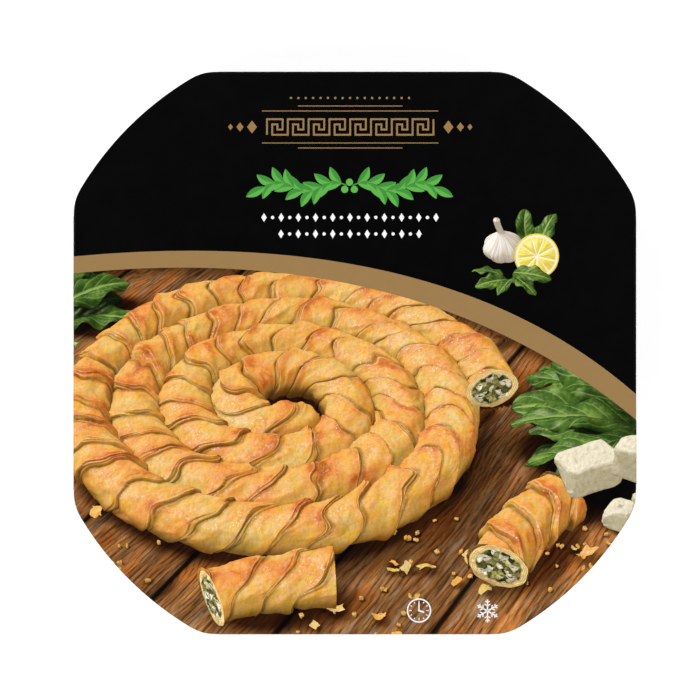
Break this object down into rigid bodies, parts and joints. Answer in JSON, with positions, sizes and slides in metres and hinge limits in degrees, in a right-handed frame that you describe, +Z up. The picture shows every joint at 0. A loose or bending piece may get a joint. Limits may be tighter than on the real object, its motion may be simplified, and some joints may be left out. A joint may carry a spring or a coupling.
{
  "type": "frozen pie carton",
  "caption": "Shut paperboard carton for a round frozen greens pie, a square with bowed cut corners, lying flat with its printed panel up.",
  "frame": {"origin": "centre of the underside, on the surface that the carton lies on", "axes": "+Z up out of the printed panel, +Y towards the black end of the print, +X to the right of the print"},
  "size_m": [0.29, 0.29, 0.0405],
  "materials": {
    "black_print": "coated board printed black, satin varnish",
    "gold_print": "coated board printed dull gold, satin varnish",
    "picture_print": "coated board printed in colours, satin varnish",
    "raw_board": "cut edge and bare side of the board, uncoated"
  },
  "bodies": {
    "root": {"carton": "black_print"}
  },
  "joints": []
}
